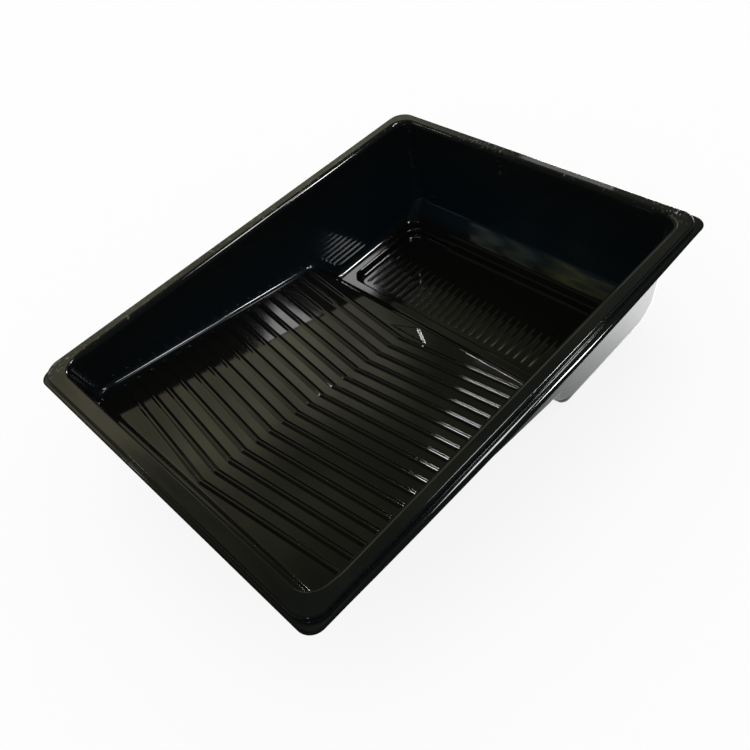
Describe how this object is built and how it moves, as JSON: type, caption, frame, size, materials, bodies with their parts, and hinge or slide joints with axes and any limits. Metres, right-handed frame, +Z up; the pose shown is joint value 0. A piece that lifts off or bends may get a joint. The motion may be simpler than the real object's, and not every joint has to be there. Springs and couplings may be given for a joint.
{
  "type": "paint roller tray",
  "caption": "One-piece thermoformed black plastic roller tray: a sloping ramp with chevron ribs runs into a deep paint well with a ribbed floor, inside a stepped rim.",
  "frame": {"origin": "centre of the overall length and width, on the underside of the well floor, where the tray stands", "axes": "+X to the right across the tray, +Y from the shallow end towards the well, +Z up"},
  "size_m": [0.2866, 0.3776, 0.099],
  "materials": {
    "black_plastic": "glossy black thermoformed polystyrene sheet, mirror-like, with faint flow waviness and light scuffs on the rim"
  },
  "bodies": {
    "root": {"tray": "black_plastic"}
  },
  "joints": []
}
